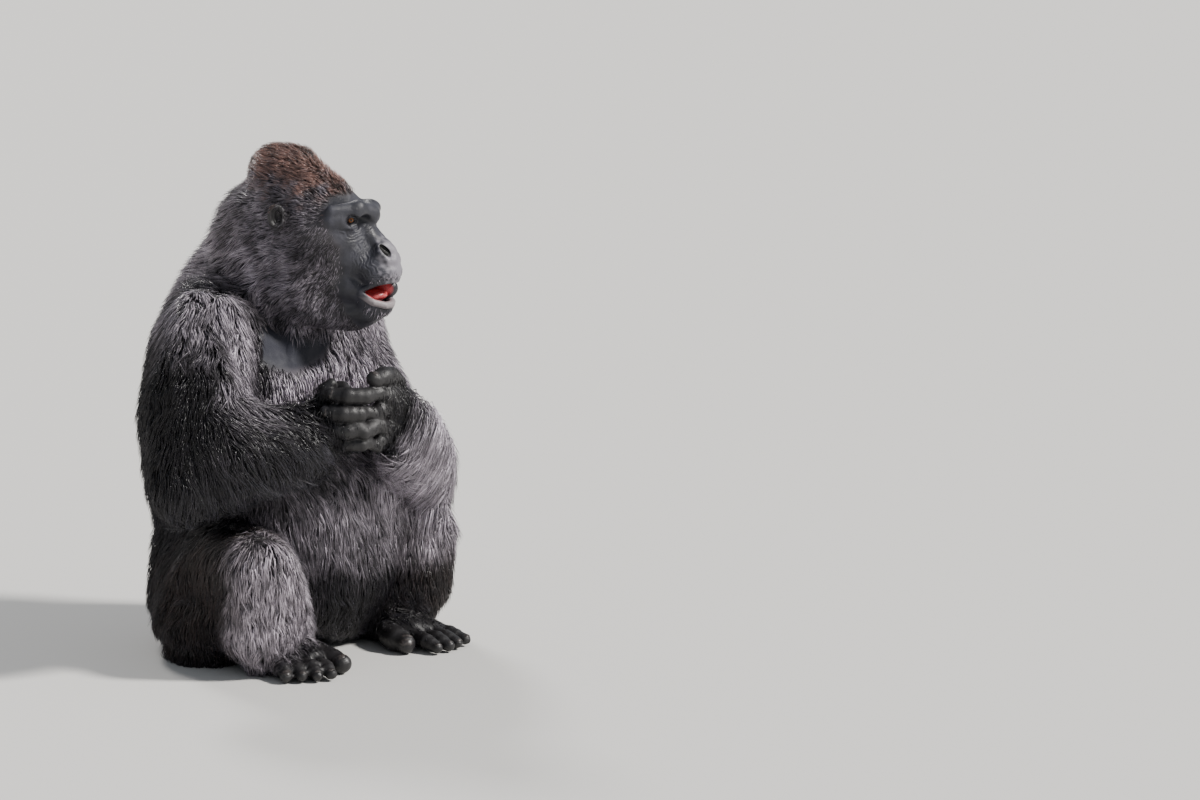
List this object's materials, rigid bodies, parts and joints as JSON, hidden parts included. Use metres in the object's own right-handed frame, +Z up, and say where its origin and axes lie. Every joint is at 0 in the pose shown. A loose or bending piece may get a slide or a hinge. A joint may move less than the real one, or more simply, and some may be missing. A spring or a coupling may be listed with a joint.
{
  "type": "gorilla",
  "caption": "Life-size adult male gorilla sitting upright with knees drawn up, feet flat, hands clasped before the chest and head turned to its left.",
  "frame": {"origin": "on the floor under the middle of the whole figure", "axes": "+Z up, -Y the way the chest and feet point, +X the animal's left side"},
  "size_m": [0.8552, 0.6318, 1.0553],
  "materials": {
    "coat": "long dark grey-black hair with a silver-violet sheen",
    "crown": "short dense reddish-brown hair",
    "skin": "bare dark slate skin, slightly glossy, wrinkled",
    "eye": "wet, amber-brown",
    "mouth": "wet red lining and tongue"
  },
  "bodies": {
    "root": {"eye_left": "eye", "eye_right": "eye", "tongue": "mouth", "ear_left": "skin", "ear_right": "skin", "hand_left": "skin", "index_finger_left": "skin", "middle_finger_left": "skin", "ring_finger_left": "skin", "little_finger_left": "skin", "thumb_left": "skin", "foot_left": "skin", "second_toe_left": "skin", "third_toe_left": "skin", "fourth_toe_left": "skin", "little_toe_left": "skin", "big_toe_left": "skin", "hand_right": "skin", "index_finger_right": "skin", "middle_finger_right": "skin", "ring_finger_right": "skin", "little_finger_right": "skin", "thumb_right": "skin", "foot_right": "skin", "second_toe_right": "skin", "third_toe_right": "skin", "fourth_toe_right": "skin", "little_toe_right": "skin", "big_toe_right": "skin", "muzzle": "skin", "lower_jaw": "coat", "head": "crown", "forearm_left": "coat", "upper_arm_left": "coat", "lower_leg_left": "coat", "thigh_left": "coat", "forearm_right": "coat", "upper_arm_right": "coat", "lower_leg_right": "coat", "thigh_right": "coat", "neck": "coat", "chest": "coat", "belly": "coat", "rump": "coat"}
  },
  "joints": []
}
